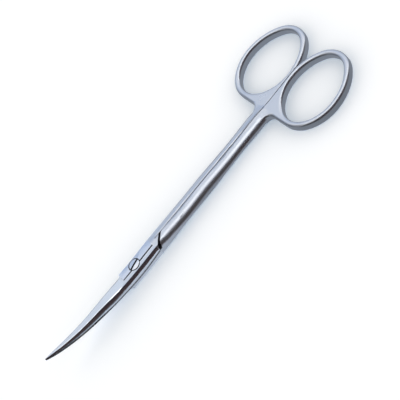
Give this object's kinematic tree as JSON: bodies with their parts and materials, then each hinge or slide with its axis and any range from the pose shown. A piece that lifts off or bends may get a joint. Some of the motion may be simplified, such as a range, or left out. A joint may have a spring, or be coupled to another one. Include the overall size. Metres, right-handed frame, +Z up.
{
  "type": "dissecting scissors",
  "caption": "Curved dissecting scissors with slender pointed blades, a slotted screw joint, oval-section shanks and oval finger rings.",
  "frame": {"origin": "on the pivot axis, in the flat of the joint's underside that the closed scissors rest on", "axes": "+X from the pivot to the finger rings, +Z up along the pivot axis towards the screw head and the blades' curve, +Y to the upper half's finger ring"},
  "size_m": [0.1141, 0.0412, 0.0079],
  "materials": {
    "instrument_steel": "satin forged stainless steel, polished bright on the blades and the joint",
    "screw_steel": "polished stainless steel"
  },
  "bodies": {
    "lower": {"lower_half": "instrument_steel", "pivot_screw": "screw_steel"},
    "upper": {"upper_half": "instrument_steel"}
  },
  "joints": [
    {"name": "blade_pivot", "type": "hinge", "parent": "lower", "child": "upper", "pos_m": [0, 0, 0.002], "axis": [0, 0, 1], "range_deg": [0, 60]}
  ]
}
